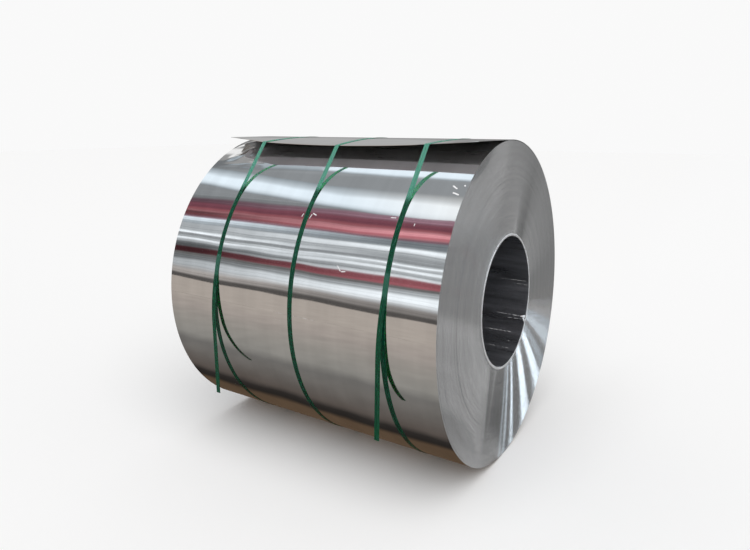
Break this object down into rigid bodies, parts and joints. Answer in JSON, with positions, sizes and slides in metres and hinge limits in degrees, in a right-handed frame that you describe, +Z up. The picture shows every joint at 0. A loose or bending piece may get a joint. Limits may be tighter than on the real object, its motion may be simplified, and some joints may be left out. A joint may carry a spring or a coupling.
{
  "type": "aluminium coil",
  "caption": "Wound coil of bright aluminium strip lying on its side, with an open bore, a free outer tail sprung forward at the top and green plastic straps round it.",
  "frame": {"origin": "middle of the bore, on the coil's axis", "axes": "+X along the coil's axis towards the end that the picture shows, +Z up, -Y towards the side where the outer tail and the strap ends are"},
  "size_m": [1.2021, 1.2612, 1.2441],
  "materials": {
    "strip": "bright rolled, satin on the wound ends",
    "strap": "glossy embossed"
  },
  "bodies": {
    "root": {"coil": "strip", "strap_left": "strap", "strap_middle": "strap", "strap_right": "strap"}
  },
  "joints": []
}
